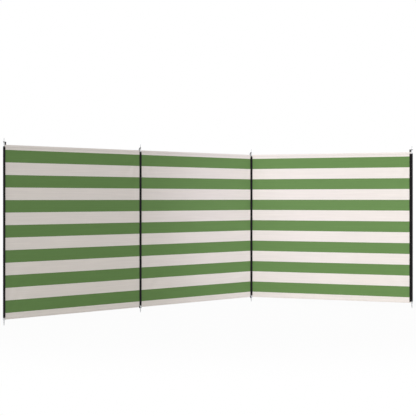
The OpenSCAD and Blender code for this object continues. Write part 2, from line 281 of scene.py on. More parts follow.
class Finish:
    """A material, or the world, and the nodes that give it its detail."""

    def __init__(self, name, kind="materials", shader="Principled BSDF"):
        self.made = getattr(bpy.data, kind).new(name)
        self.made.use_nodes = True
        self.tree = self.made.node_tree
        self.shader = self.tree.nodes[shader]

    def node(self, kind, settings=None, sockets=None, output=0):
        """Adds a node of that kind: its settings first, then the values or links of its sockets."""
        made = self.tree.nodes.new(kind)
        for key, value in (settings or {}).items():
            setattr(made, key, value)
        for key, value in (sockets or {}).items():
            self.feed(made.inputs[key], value)
        return Reading(self, made.outputs[output])

    def feed(self, socket, value):
        """Links a reading to a socket, or sets the socket's own value."""
        if isinstance(value, Reading):
            self.tree.links.new(value.socket, socket)
        elif hasattr(value, "__len__") and len(value) == 3 and socket.type == "RGBA":
            socket.default_value = (*value, 1)
        else:
            socket.default_value = value

    def surface(self, **sockets):
        """Sets or links the main shader's sockets, with _ for a space, and gives the material."""
        for key, value in sockets.items():
            self.feed(self.shader.inputs[key.replace("_", " ")], value)
        return self.made

    def place(self):
        """The point on the piece, in metres."""
        return self.node("ShaderNodeTexCoord", output="Object")

    def cloth_place(self):
        """The point on the flat cloth or along the cord, from the piece's own map."""
        return self.node("ShaderNodeUVMap", {"uv_map": "Run"})

    def axes(self, vector):
        """The three parts of a vector."""
        split = self.node("ShaderNodeSeparateXYZ", sockets={0: vector}).socket.node
        return [Reading(self, out) for out in split.outputs]

    def stretched(self, vector, *scale):
        """A vector scaled on each axis."""
        return self.node("ShaderNodeVectorMath", {"operation": "MULTIPLY"}, {0: vector, 1: scale})

    def grain(self, vector, scale, detail=2.0, rough=0.5):
        """Soft noise about one half."""
        sockets = {"Vector": vector, "Scale": scale, "Detail": detail, "Roughness": rough}
        return self.node("ShaderNodeTexNoise", {"noise_dimensions": "3D"}, sockets)

    def rise(self, value, low, high):
        """A soft step from 0 at low to 1 at high."""
        sockets = {"Value": value, "From Min": low, "From Max": high}
        return self.node("ShaderNodeMapRange", {"interpolation_type": "SMOOTHSTEP"}, sockets)

    def mix(self, factor, first, second):
        """A colour between two others."""
        return self.node("ShaderNodeMix", {"data_type": "RGBA"}, {0: factor, 6: first, 7: second}, output=2)

    def tinted(self, tint, amount):
        """A colour made lighter or darker by a value about one."""
        return self.node("ShaderNodeVectorMath", {"operation": "SCALE"}, {0: tint, "Scale": amount})

    def bump(self, height, distance, strength, **under):
        """A relief of that height in metres, over another one if Normal gives it."""
        sockets = {"Height": height, "Distance": distance, "Strength": strength, **under}
        return self.node("ShaderNodeBump", sockets=sockets)

    def seen(self):
        """One for what the camera sees, straight or by metal and glass, and zero for other light."""
        path = self.node("ShaderNodeLightPath").socket.node.outputs
        rays = ("Camera", "Glossy", "Transmission")
        straight, glossy, through = (Reading(self, path[f"Is {ray} Ray"]) for ray in rays)
        return straight.math("MAXIMUM", glossy).math("MAXIMUM", through)


def plain_weave(across, along, pitch):
    """Height of a plain weave: warp and weft take turns on top."""
    warp, weft = across / pitch, along / pitch
    turn = (warp.math("FLOOR") + weft.math("FLOOR")) % 2
    round_warp = (warp.math("FRACT") * math.pi).math("SINE")
    round_weft = (weft.math("FRACT") * math.pi).math("SINE")
    return turn * round_warp + (1 - turn) * round_weft


def cloth_finish(cloth):
    """Yarn-dyed stripes with a plain weave, uneven yarns and a little dust at the foot."""
    f = Finish("striped_cloth")
    run = f.cloth_place()
    across, height, _ = f.axes(run)
    fray = (f.grain(f.stretched(run, 1 / cloth.yarn, 1 / cloth.yarn, 1), 0.7) - 0.5) * (1.2 * MM)
    band = ((CLOTH_H - cloth.margin) - (height + fray)) / cloth.stripe
    count = 2 * math.floor((CLOTH_H - cloth.margin + cloth.stripe) / (2 * cloth.stripe)) - 1
    green = ((band * 0.5).math("FRACT") < 0.5) * (band > 0) * (band < count)
    weft = f.grain(f.stretched(run, 1.3, 1 / cloth.yarn, 1), 1.0, 1) - 0.5
    slub = f.grain(f.stretched(run, 2.2, 95, 1), 1.0, 2) - 0.5
    warp = f.grain(f.stretched(run, 1 / cloth.yarn, 1.1, 1), 1.0, 1) - 0.5
    cloud = f.grain(run, 3.2, 3) - 0.5
    amount = 1 + weft * 0.09 + slub * 0.14 + warp * 0.05 + cloud * 0.03
    dyed = f.mix(green, cloth.pale, cloth.green)
    dust = f.rise(height, 0.09, 0.0) * f.grain(f.stretched(run, 14, 30, 1), 1.0, 4) * 0.04
    return f.surface(
        Base_Color=f.mix(dust, f.tinted(dyed, amount), shade(196, 184, 164)),
        Roughness=0.78 + weft * 0.10 + cloud * 0.08,
        Specular_IOR_Level=0.03,
        Sheen_Weight=0.01,
        Sheen_Roughness=0.5,
        Normal=f.bump(plain_weave(across, height, cloth.yarn), 0.14 * MM, 0.5),
    )


def black_weave(name, tint, pitch, rib):
    """Black woven fabric with a ribbed weave and lint, with painted highlight on the high yarns and painted shade
    between them.
    """
    f = Finish(name)
    run = f.cloth_place()
    across, along, _ = f.axes(run)
    lines = ((along + across * rib) / pitch).math("FRACT")
    crossing = (across / (pitch * 1.3) * math.pi).math("SINE").math("ABSOLUTE")
    high = (lines * math.pi).math("SINE") * (0.7 + 0.3 * crossing)
    lint = f.rise(f.grain(f.stretched(run, 900, 260, 1), 1.0, 3, 0.6), 0.70, 0.80)
    faded = f.grain(f.stretched(run, 30, 4, 1), 1.0, 3)
    # Painted highlight and shade: the high yarns of the weave are paler and the low ones darker, following the
    # weave's relief.
    base = f.tinted(f.mix(high * 0.35, tint, tuple(2.1 * c for c in tint)), 0.75 + faded * 0.5)
    return f.surface(
        Base_Color=f.mix(lint * 0.12, base, shade(150, 148, 146)),
        Roughness=0.72 + faded * 0.2,
        Specular_IOR_Level=0.16,
        Sheen_Weight=0.05,
        Sheen_Roughness=0.45,
        Normal=f.bump(high, 0.16 * MM, 0.6),
    )


def cord_finish(trim):
    """Braided cover of an elastic cord, with a few pale fibres, painted shade in the grooves between the strands and
    painted highlight on their crests.
    """
    f = Finish("elastic_cord")
    turn, along, _ = f.axes(f.cloth_place())
    left = ((along / trim.braid + turn * 4) * math.pi).math("SINE").math("ABSOLUTE")
    right = ((along / trim.braid - turn * 4) * math.pi).math("SINE").math("ABSOLUTE")
    strand = left.math("MAXIMUM", right)
    fibre = f.rise(f.grain(f.stretched(f.place(), 1500, 1500, 1500), 1.0, 2), 0.66, 0.78)
    # Painted shade and highlight: the grooves between the strands are darker and the crests lighter, following the
    # braid's relief.
    base = f.mix(strand, tuple(0.4 * c for c in trim.cord), tuple(1.5 * c for c in trim.cord))
    return f.surface(
        Base_Color=f.mix(fibre * 0.25, base, shade(140, 138, 136)),
        Roughness=0.62 + strand * 0.16,
        Specular_IOR_Level=0.35,
        Sheen_Weight=0.08,
        Normal=f.bump(strand, 0.30 * MM, 0.8),
    )


def thread_finish(name, tint):
    """Twisted sewing thread, with painted shade between the plies of the twist."""
    f = Finish(name)
    place = f.place()
    x, y, z = f.axes(place)
    twist = ((x + y + z) / (0.45 * MM)).math("SINE") * 0.5 + 0.5
    return f.surface(
        # Painted shade: the colour darkens and lightens with the twist's relief; the noise on top is random tone of
        # the thread.
        Base_Color=f.tinted(tint, 0.82 + twist * 0.26 + (f.grain(place, 60, 2) - 0.5) * 0.2),
        Roughness=0.55 + twist * 0.15,
        Sheen_Weight=0.08,
        Normal=f.bump(twist, 0.05 * MM, 0.5),
    )


def zinc_finish(metal):
    """Zinc plate with lathe rings, dull spangle and darker rub marks near the tips."""
    f = Finish("zinc_steel")
    place = f.place()
    *_, z = f.axes(place)
    rings = f.grain(f.stretched(place, 3, 3, 2600), 1.0, 3, 0.6)
    spangle = f.grain(place, 420, 3)
    film = f.grain(place, 90, 4, 0.6)
    tip = f.rise(z, 40 * MM, 0.0) + f.rise(z, CAD_HIGH.z - 22 * MM, CAD_HIGH.z)
    rub = f.rise(film + rings * 0.3, 0.62, 0.82) * (0.25 + tip * 0.75) * metal.wear
    dull = tuple(0.55 * c for c in metal.zinc)
    return f.surface(
        Base_Color=f.mix(rub, f.tinted(metal.zinc, 0.9 + spangle * 0.14 + film * 0.06), dull),
        Metallic=1 - rub * 0.35,
        Roughness=0.26 + rings * 0.12 + spangle * 0.10 + rub * 0.25,
        Normal=f.bump(rings, 0.03 * MM, 0.5, Normal=f.bump(spangle, 0.02 * MM, 0.3)),
    )


def coat_finish(metal):
    """Satin black coat on a steel tube, scuffed to bare metal at the two ends."""
    f = Finish("black_steel")
    place = f.place()
    *_, z = f.axes(place)
    peel = f.grain(place, 700, 2)
    scratch = f.grain(f.stretched(place, 900, 900, 40), 1.0, 4, 0.65)
    end = f.rise(z, TUBE_LOW + 6 * MM, TUBE_LOW) + f.rise(z, TUBE_HIGH - 6 * MM, TUBE_HIGH)
    bare = f.rise(scratch + end * 0.22, 0.72, 0.80) * metal.wear
    return f.surface(
        Base_Color=f.mix(bare, f.tinted(metal.coat, 0.9 + peel * 0.2), shade(150, 150, 152)),
        Metallic=bare * 0.9,
        Roughness=0.38 + peel * 0.10 + scratch * 0.12,
        Normal=f.bump(peel, 0.03 * MM, 0.4),
    )


def nylon_finish(name, metal):
    """Moulded black nylon with a fine matt grain and grey scuffs."""
    f = Finish(name)
    place = f.place()
    matt = f.grain(place, 2600, 2)
    flow = f.grain(f.stretched(place, 120, 120, 300), 1.0, 3)
    scuff = f.rise(f.grain(f.stretched(place, 500, 500, 1400), 1.0, 4, 0.65), 0.66, 0.78) * metal.wear
    return f.surface(
        Base_Color=f.mix(scuff * 0.5, f.tinted(metal.nylon, 0.85 + flow * 0.3), shade(96, 96, 96)),
        Roughness=0.50 + matt * 0.12 + scuff * 0.2,
        Specular_IOR_Level=0.2,
        Normal=f.bump(matt, 0.04 * MM, 0.5),
    )


def floor_finish(stage):
    """Pale floor that looks white to the camera away from the object and keeps a soft shadow near it."""
    f = Finish("studio_floor")
    f.surface(Base_Color=stage.floor, Roughness=0.9, Specular_IOR_Level=0.1)
    x, y, _ = f.axes(f.place())
    away_x, away_y = x + 1.7, y + 0.9
    reach = (away_x * away_x + away_y * away_y).math("SQRT")
    share = f.seen() * (0.96 + 0.04 * f.rise(reach, 2.2, 5.0))
    white = f.node("ShaderNodeEmission", sockets={"Color": (1, 1, 1), "Strength": 1})
    mixed = f.node("ShaderNodeMixShader", sockets={0: share, 1: Reading(f, f.shader.outputs[0]), 2: white})
    f.feed(f.tree.nodes["Material Output"].inputs["Surface"], mixed)
    return f.made


def only(kind, geom):
    """The points, edges or faces among the results of a mesh operator."""
    return [part for part in geom if isinstance(part, kind)]


def whole(bm):
    """All points, edges and faces of a bmesh."""
    return bm.verts[:] + bm.edges[:] + bm.faces[:]


def outward(bm):
    """Turns all faces outwards."""
    bmesh.ops.recalc_face_normals(bm, faces=bm.faces)


def mesh_of(name, bm):
    """Turns a bmesh into a mesh."""
    mesh = bpy.data.meshes.new(name)
    bm.to_mesh(mesh)
    bm.free()
    return mesh


def put(name, data):
    """Adds an object to the scene."""
    made = bpy.data.objects.new(name, data)
    bpy.context.scene.collection.objects.link(made)
    return made


def add_piece(name, bm, material, slot, node, stands_for_it=True, sharp=40):
    """Turns a bmesh into a piece that rides on a CAD node's body, and mostly takes the node's place."""
    mesh = mesh_of(name, bm)
    mesh.polygons.foreach_set("use_smooth", [True] * len(mesh.polygons))
    mesh.set_sharp_from_angle(angle=math.radians(sharp))
    mesh.materials.append(material)
    piece = put(name, mesh)
    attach(piece, frame["nodes"][node]["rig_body"])
    if stands_for_it:
        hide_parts(node)
    return piece


def add_to(bm, other):
    """Moves one bmesh's shape into another."""
    carrier = mesh_of("carrier", other)
    bm.from_mesh(carrier)
    bpy.data.meshes.remove(carrier)


def map_run(bm, place):
    """Writes each face corner's place on the flat cloth or cord to the piece's own map, in metres."""
    layer = bm.loops.layers.uv.new("Run")
    for face in bm.faces:
        for corner in face.loops:
            corner[layer].uv = place(face, corner.vert)


def thicken(piece, thickness, offset=0):
    """Gives a piece's skin its thickness, to both sides alike or to the inside."""
    wall = piece.modifiers.new("thickness", "SOLIDIFY")
    wall.thickness = thickness
    wall.offset = offset
    return wall


def grow(bm, edges, move):
    """Draws edges out by a move, and gives the new edges and points."""
    made = bmesh.ops.extrude_edge_only(bm, edges=edges)["geom"]
    points = only(bmesh.types.BMVert, made)
    bmesh.ops.transform(bm, matrix=move, verts=points)
    return only(bmesh.types.BMEdge, made), points


def spun(outline, steps, closed):
    """A half outline spun once round Z."""
    bm = bmesh.new()
    points = [bm.verts.new(p) for p in outline]
    edges = [bm.edges.new(pair) for pair in zip(points, points[1:] + (points[:1] if closed else []))]
    bmesh.ops.spin(bm, geom=points + edges, cent=(0, 0, 0), axis=UP, angle=math.tau, steps=steps, use_merge=True)
    bmesh.ops.remove_doubles(bm, verts=bm.verts, dist=1e-6)
    return bm


def sharp_edges(bm, degrees):
    """The edges whose faces turn by more than an angle."""
    return [e for e in bm.edges if e.is_manifold and e.calc_face_angle() > math.radians(degrees)]


def round_over(bm, edges, width, segments):
    """Rounds edges off."""
    bmesh.ops.bevel(
        bm, geom=edges, offset=width, offset_type="OFFSET", affect="EDGES", segments=segments, profile=0.5,
        material=-1, clamp_overlap=True,
    )


def stitch_row(bm, start, run, face, pitch, length, count):
    """A straight row of stitches: one stitch, doubled until the row is long enough."""
    row = bmesh.new()
    turn = Matrix((run, run.cross(face), face)).transposed().to_4x4()
    shape = Matrix.Diagonal((length / 2, THREAD_W, THREAD_H, 1))
    bmesh.ops.create_icosphere(row, subdivisions=1, radius=1, matrix=Matrix.Translation(start) @ turn @ shape)
    made = 1
    while made < count:
        copy = bmesh.ops.duplicate(row, geom=whole(row))["geom"]
        bmesh.ops.translate(row, verts=only(bmesh.types.BMVert, copy), vec=run * (pitch * made))
        made *= 2
    over = [v for v in row.verts if (v.co - start).dot(run) > (count - 0.5) * pitch]
    bmesh.ops.delete(row, geom=over, context="VERTS")
    add_to(bm, row)


def stitch_both_faces(bm, x, z, proud, run, pitch, length, count):
    """The same row of stitches on the front and back of a bay, a little proud of the hem's faces."""
    for side in (-1, 1):
        start = Vector((x, side * (HEM_T / 2 + proud), z))
        stitch_row(bm, start, run, Vector((0, side, 0)), pitch, length, count)


def smooth_step(value, low, high):
    """A soft step from 0 at low to 1 at high."""
    t = min(max((value - low) / (high - low), 0.0), 1.0)
    return t * t * (3 - 2 * t)


def angle_of(spot):
    """Direction of a point as seen from above."""
    return math.atan2(spot.y, spot.x)


def polar(reach, angle, z=0.0):
    """The point at a distance and direction from a pole's axis."""
    return Vector((reach * math.cos(angle), reach * math.sin(angle), z))


def corner_place(pole, level):
    """Place on a pole's axis with X towards the bay whose corner is fastened to it."""
    turn = TURN[1] if pole == 1 else TURN[pole - 1] + math.pi
    return Matrix.Translation(FOOT[pole] + UP * level) @ Matrix.Rotation(turn, 4, "Z")


def slack(bay, cloth, x, z):
    """How far the cloth of a bay stands out of its plane at a point, towards the back."""
    left, right = x - CLOTH_X, PITCH - CLOTH_X - x
    below, above = z - CLOTH_LOW, CLOTH_HIGH - z
    side, edge = min(left, right), min(below, above)
    held = smooth_step(side, 16 * MM, 90 * MM)
    free = 0.35 + 0.65 * smooth_step(edge, 0, 250 * MM)
    seed = Vector((7.3 * bay, 3.1 * bay, 1.7 * bay))
    u, v = x / PITCH, below / CLOTH_H
    out = -cloth.billow * math.sin(math.pi * u) * (0.3 + 0.7 * math.sin(math.pi * v))
    long_fold = noise.noise(Vector((x * 1.1, z * 7.0, 0)) + seed)
    short_fold = noise.noise(Vector((x * 2.0, z * 16.0, 4)) + seed)
    out += cloth.ripple * (long_fold + 0.5 * short_fold)
    # Folds that spread from the corners, where the fastenings pull.
    for near_x, near_z in ((left, below), (left, above), (right, below), (right, above)):
        reach = math.hypot(near_x, near_z)
        if reach < 0.7:
            fan = math.cos(13 * math.atan2(near_z, near_x) + 1.3 * bay)
            out += cloth.ripple * 1.1 * fan * smooth_step(reach, 0.03, 0.16) * smooth_step(reach, 0.7, 0.2)
    for start, end, width, height in CREASES.get(bay, ()):
        length = (end - start).length
        run = (end - start).normalized()
        spot = Vector((x, z)) - start
        along, across = spot.dot(run), spot.dot(run.orthogonal())
        ends = smooth_step(along, 0, 0.1) * smooth_step(along, length, length - 0.15)
        out += height * math.exp(-((across / width) ** 2)) * ends
    # Small puckers square to the side seams and the hems.
    seam = smooth_step(side, 130 * MM, 20 * MM) * smooth_step(side, 14 * MM, 30 * MM)
    out_seam = cloth.pucker * seam * noise.noise(Vector((x * 6, z * 30, 9)) + seed)
    hem = smooth_step(edge, 150 * MM, 30 * MM)
    out_hem = cloth.pucker * hem * noise.noise(Vector((x * 16, z * 4, 13)) + seed)
    return held * free * (out + out_hem) + out_seam * free


def make_sheet(bay, cloth, striped):
    """One bay's cloth, thick at its hems."""
    bm = bmesh.new()
    stand = Matrix.Translation((PITCH / 2, 0, (CLOTH_LOW + CLOTH_HIGH) / 2)) @ Matrix.Rotation(math.pi / 2, 4, "X")
    bmesh.ops.create_grid(
        bm, x_segments=round(CLOTH_W / cloth.grid), y_segments=round(CLOTH_H / cloth.grid), size=0.5,
        matrix=stand @ Matrix.Diagonal((CLOTH_W, CLOTH_H, 1, 1)),
    )
    fold = HEM_T / 2
    for depth in (0.3 * fold, fold, cloth.hem - 0.6 * MM, cloth.hem + 0.6 * MM):
        for level in (CLOTH_LOW + depth, CLOTH_HIGH - depth):
            bmesh.ops.bisect_plane(bm, geom=whole(bm), dist=1e-6, plane_co=(0, 0, level), plane_no=UP)
    map_run(bm, lambda face, v: (v.co.x, v.co.z - CLOTH_LOW))
    weight = bm.verts.layers.deform.verify()
    for v in bm.verts:
        edge = min(v.co.z - CLOTH_LOW, CLOTH_HIGH - v.co.z)
        rounded = math.sqrt(max(0.0, 1 - (1 - min(edge / fold, 1)) ** 2))
        v[weight][0] = max(0.15, rounded) * (1 - smooth_step(edge, cloth.hem - 0.7 * MM, cloth.hem + 0.7 * MM))
        v.co.y = slack(bay, cloth, v.co.x, v.co.z)
    bm.transform(BAY[bay])
    piece = add_piece(f"striped_cloth_{bay}", bm, striped, "striped_cloth", f"cloth_panel_{bay}", sharp=180)
    piece.vertex_groups.new(name="hem")
    wall = thicken(piece, HEM_T)
    wall.vertex_group = "hem"
    wall.thickness_vertex_group = cloth.thickness / HEM_T
    return piece


def make_hem_stitches(bay, cloth, thread):
    """Stitch rows that close the hems, on both faces."""
    bm = bmesh.new()
    pitch = cloth.stitch * HEM_SPACING
    inset = 2.5 * MM
    start_x = CLOTH_X + 6 * MM
    count = int((PITCH - 2 * start_x) / pitch)
    for level in (CLOTH_LOW + cloth.hem - inset, CLOTH_HIGH - cloth.hem + inset):
        stitch_both_faces(bm, start_x, level, 0.05 * MM, ALONG, pitch, cloth.stitch, count)
    for v in bm.verts:
        v.co.y += slack(bay, cloth, v.co.x, v.co.z)
    bm.transform(BAY[bay])
    return add_piece(f"hem_stitches_{bay}", bm, thread, "striped_cloth", f"cloth_panel_{bay}", False)


class WINDBREAK_OT_cloth(bpy.types.Operator):
    """Makes the three striped cloth bays with folded hems and their stitches"""

    bl_idname = "windbreak.cloth"
    bl_label = "Cloth bays"

    def execute(self, context):
        cloth = context.scene.windbreak_cloth
        striped = cloth_finish(cloth)
        thread = thread_finish("hem_thread", cloth.thread)
        for bay in BAYS:
            sheet = make_sheet(bay, cloth, striped)
            stitches = make_hem_stitches(bay, cloth, thread)
        return {"FINISHED"}


def tape_levels(over):
    """Heights of a tape's rows, from hem to hem or a little way over the hems."""
    rows = round(SLEEVE_H / TAPE_ROW)
    inner = [SLEEVE_LOW + SLEEVE_H * i / rows for i in range(rows + 1)]
    if not over:
        return inner
    step = 1 * MM
    low = [SLEEVE_LOW - over, SLEEVE_LOW - 0.2 * step, SLEEVE_LOW + step]
    return low + inner[1:-1] + [SLEEVE_HIGH - step, SLEEVE_HIGH + 0.2 * step, SLEEVE_HIGH + 0.7 * over]


def make_tapes(bay, trim, woven, far):
    """Both tapes of a bay, each folded round its edge of the cloth."""
    bm = bmesh.new()
    half = HEM_T / 2 - trim.tape_t / 2
    bend_x = EDGE_X + trim.tape_t / 2 + half
    bend = [math.radians(-90 - 30 * step) for step in range(7)]
    lift = 0.08 * MM
    for width, mirrored in ((trim.tape_w, False), (far, True)):
        strip = bmesh.new()
        levels = tape_levels(trim.tape_over if width == trim.end_tape_w else 0)
        outline = [(bend_x + half * math.cos(angle), half * math.sin(angle)) for angle in bend]
        outline = [(EDGE_X + width, -half), *outline, (EDGE_X + width, half)]
        points = [strip.verts.new((x, y, levels[0])) for x, y in outline]
        edges = [strip.edges.new(pair) for pair in zip(points, points[1:])]
        for now, after in zip(levels, levels[1:]):
            edges = grow(strip, edges, Matrix.Translation((0, 0, after - now)))[0]
        map_run(strip, lambda face, v: (v.co.x + v.co.y * 0.5, v.co.z))
        for v in strip.verts:
            free = smooth_step(v.co.x, EDGE_X + width * 0.5, EDGE_X + width)
            wave = noise.noise(Vector((3.7 * bay, 5 if mirrored else 1, v.co.z * 28)))
            v.co.x += free * 0.35 * MM * wave
            over_hem = levels[0] < SLEEVE_LOW and not SLEEVE_LOW < v.co.z < SLEEVE_HIGH
            if over_hem and abs(v.co.y) > 0.1 * MM:
                v.co.y += math.copysign(trim.tape_t + lift, v.co.y)
            flutter = 1 + noise.noise(Vector((v.co.y * 900, bay, v.co.z * 45)))
            v.co.y += math.copysign(lift, v.co.y) * free * flutter
        if mirrored:
            bmesh.ops.scale(strip, vec=(-1, 1, 1), verts=strip.verts)
            bmesh.ops.translate(strip, vec=(PITCH, 0, 0), verts=strip.verts)
            bmesh.ops.reverse_faces(strip, faces=strip.faces)
        add_to(bm, strip)
    bm.transform(BAY[bay])
    thicken(add_piece(f"edge_tape_{bay}", bm, woven, "binding_tape", f"edge_bindings_{bay}", sharp=60), trim.tape_t)


def make_tape_stitches(bay, trim, thread, far):
    """A stitch row near the free edge of each tape, on both faces."""
    bm = bmesh.new()
    pitch = trim.stitch * SEAM_SPACING
    inset, start, proud = 1.6 * MM, 5 * MM, 0.08 * MM
    count = int((SLEEVE_H - 8 * MM) / pitch)
    for x in (EDGE_X + trim.tape_w - inset, PITCH - EDGE_X - far + inset):
        stitch_both_faces(bm, x, SLEEVE_LOW + start, proud, UP, pitch, trim.stitch, count)
    bm.transform(BAY[bay])
    add_piece(f"tape_stitches_{bay}", bm, thread, "binding_tape", f"edge_bindings_{bay}", False)


class WINDBREAK_OT_edge_tapes(bpy.types.Operator):
    """Makes the black tapes that bind the side edges of each bay, with their stitches"""

    bl_idname = "windbreak.edge_tapes"
    bl_label = "Edge tapes"

    def execute(self, context):
        trim = context.scene.windbreak_trim
        woven = black_weave("binding_tape", trim.black, 1.1 * MM, 1.0)
        thread = thread_finish("tape_thread", trim.thread)
        for bay in BAYS:
            far = trim.end_tape_w if bay == BAYS[-1] else trim.tape_w
            make_tapes(bay, trim, woven, far)
            make_tape_stitches(bay, trim, thread, far)
        return {"FINISHED"}


def seam_angle(pole):
    """The seam lies at the back of the pole, away from the sheltered side."""
    return TURN[min(pole, BAYS[-1])] + math.pi / 2


def sleeve_radius(pole, trim, angle, z):
    """Outside radius of a sleeve at a height: hems, the lapped seam and small puckers."""
    edge = min(z - SLEEVE_LOW, SLEEVE_HIGH - z)
    off = abs(math.remainder(angle - seam_angle(pole), math.tau))
    at = Vector((2.2 * math.cos(angle) + 3 * pole, 2.2 * math.sin(angle), z * 22))
    pucker = noise.noise(at) * 0.16 * MM
    lap = 0.16 * MM * smooth_step(off, 0.34, 0.26)
    draw = 0.10 * MM * noise.noise(Vector((pole, 9, z * 90))) * smooth_step(off, 0.9, 0.3)
    hem = 0.10 * MM * smooth_step(edge, trim.sleeve_hem + 1 * MM, trim.sleeve_hem - 1 * MM)
    return min(SLEEVE_R - 0.10 * MM + pucker + lap + draw + hem, SLEEVE_R + 0.18 * MM)


def make_sleeve(pole, trim, woven):
    """One sleeve as a thin tube."""
    foot = FOOT[pole]
    bm = bmesh.new()
    bmesh.ops.create_circle(
        bm, cap_ends=False, segments=SLEEVE_SIDES, radius=SLEEVE_R,
        matrix=Matrix.Translation(foot + UP * SLEEVE_LOW),
    )
    edges = bm.edges[:]
    rows = round(SLEEVE_H / SLEEVE_ROW)
    for _ in range(rows):
        edges = grow(bm, edges, Matrix.Translation((0, 0, SLEEVE_H / rows)))[0]

    def unrolled(face, v):
        base = angle_of(face.calc_center_median() - foot)
        turn = base + math.remainder(angle_of(v.co - foot) - base, math.tau)
        return turn * SLEEVE_R, v.co.z - foot.z

    map_run(bm, unrolled)
    for v in bm.verts:
        angle = angle_of(v.co - foot)
        v.co = foot + polar(sleeve_radius(pole, trim, angle, v.co.z), angle, v.co.z)
    outward(bm)
    piece = add_piece(f"sleeve_fabric_{pole}", bm, woven, "sleeve_fabric", f"sleeve_{pole}", sharp=180)
    thicken(piece, trim.sleeve_t, -1)


def make_sleeve_stitches(pole, trim, thread):
    """Two rows down the lapped seam and one round each hem."""
    foot = FOOT[pole]
    proud, inset, seam_half = 0.05 * MM, 2 * MM, 0.2
    bm = bmesh.new()
    pitch = trim.stitch * SEAM_SPACING
    count = int((SLEEVE_H - 2 * trim.sleeve_hem) / pitch)
    for off in (-seam_half, seam_half):
        face = polar(1, seam_angle(pole) + off)
        start = foot + face * SLEEVE_R + UP * (SLEEVE_LOW + trim.sleeve_hem)
        stitch_row(bm, start, UP, face, pitch, trim.stitch, count)
    for v in bm.verts:
        spot = v.co - foot
        angle = angle_of(spot)
        reach = math.hypot(spot.x, spot.y) - SLEEVE_R + sleeve_radius(pole, trim, angle, v.co.z) + proud
        v.co = foot + polar(reach, angle, v.co.z)
    for level in (SLEEVE_LOW + trim.sleeve_hem - inset, SLEEVE_HIGH - trim.sleeve_hem + inset):
        ring = bmesh.new()
        at = Matrix.Translation(foot + Vector((SLEEVE_R + proud, 0, level)))
        shape = Matrix.Diagonal((THREAD_H, trim.stitch * 0.42, THREAD_W, 1))
        bmesh.ops.create_icosphere(ring, subdivisions=1, radius=1, matrix=at @ shape)
        turns = round(math.tau * SLEEVE_R / (trim.stitch * CLOSE_SPACING))
        bmesh.ops.spin(
            ring, geom=whole(ring), cent=foot, axis=UP, angle=math.tau * (turns - 1) / turns, steps=turns - 1,
            use_duplicate=True,
        )
        add_to(bm, ring)
    add_piece(f"sleeve_stitches_{pole}", bm, thread, "sleeve_fabric", f"sleeve_{pole}", False)


class WINDBREAK_OT_sleeves(bpy.types.Operator):
    """Makes the fabric sleeves of the poles, with hems, a lapped seam and stitches"""

    bl_idname = "windbreak.sleeves"
    bl_label = "Pole sleeves"

    def execute(self, context):
        trim = context.scene.windbreak_trim
        woven = black_weave("sleeve_fabric", trim.black, 0.9 * MM, 1.0)
        thread = thread_finish("sleeve_thread", trim.thread)
        for pole in POLES:
            make_sleeve(pole, trim, woven)
            make_sleeve_stitches(pole, trim, thread)
        return {"FINISHED"}


def loop_route(trim, bend, drop):
    """Points of a loop: up one face of the hem, round the neck and down the other face."""
    foot_x = CLOTH_X + 8.5 * MM
    strand_y = trim.cord_d / 2 + PLAY
    sewn_y = HEM_T / 2 + PLAY + trim.cord_d / 2
    sewn, dip = 12 * MM, 0.25 * MM
    side = []
    steps, sewn_steps = 24, 6
    for step in range(1, steps + 1):
        t = step / steps
        quarter = math.pi / 2 * t
        side.append(Vector((
            foot_x * math.sin(quarter) ** 0.8,
            strand_y + (bend - strand_y) * (1 - t) ** 2 + (sewn_y - strand_y) * t ** 3,
            -drop * (1 - math.cos(quarter) ** 0.8 if step < steps else 1),
        )))
    for step in range(1, sewn_steps + 1):
        side.append(Vector((foot_x, sewn_y - dip * smooth_step(step, 1, 4), -drop - sewn * step / sewn_steps)))
    other = [Vector((p.x, -p.y, p.z)) for p in reversed(side)]
    turn = [math.radians(a) for a in range(-90, 91, 10)]
    return other + [Vector((-bend * math.cos(a), bend * math.sin(a), 0)) for a in turn] + side


def make_loop(pole, trim, braided, place, local_route):
    """A round cord swept along the route of a loop."""
    route = [place @ p for p in local_route]
    cord = bmesh.new()
    sides = CORD_SIDES
    mark = {}

    def mark_ring(ring, at, travelled):
        """Notes where each point of a ring lies: its step round the cord and its length along it."""
        for v in ring:
            mark[v] = (round(angle_of(at.inverted() @ v.co) / math.tau * sides) % sides, travelled)

    aim = (route[1] - route[0]).normalized().to_track_quat("Z", "Y")
    last = Matrix.Translation(route[0]) @ aim.to_matrix().to_4x4()
    circle = bmesh.ops.create_circle(cord, cap_ends=False, segments=sides, radius=trim.cord_d / 2, matrix=last)
    first = ring = circle["verts"]
    edges = cord.edges[:]
    travelled = 0.0
    mark_ring(ring, last, travelled)
    for i in range(1, len(route)):
        ahead = (route[min(i + 1, len(route) - 1)] - route[i - 1]).normalized()
        aim = (aim @ UP).rotation_difference(ahead) @ aim
        now = Matrix.Translation(route[i]) @ aim.to_matrix().to_4x4()
        edges, ring = grow(cord, edges, now @ last.inverted())
        travelled += (route[i] - route[i - 1]).length
        mark_ring(ring, now, travelled)
        last = now

    def unrolled(face, v):
        spins = [mark[c.vert][0] for c in face.loops]
        wraps = max(spins) - min(spins) > sides / 2
        spin, reach = mark[v]
        return (spin + sides if wraps and spin < sides / 2 else spin) / sides, reach

    map_run(cord, unrolled)
    for end in (first, ring):
        rim = [e for e in {e for v in end for e in v.link_edges} if all(w in end for w in e.verts)]
        bmesh.ops.contextual_create(cord, geom=rim)
    outward(cord)
    add_piece(f"corner_loop_{pole}", cord, braided, "elastic_cord", f"tension_loops_{pole}", sharp=60)


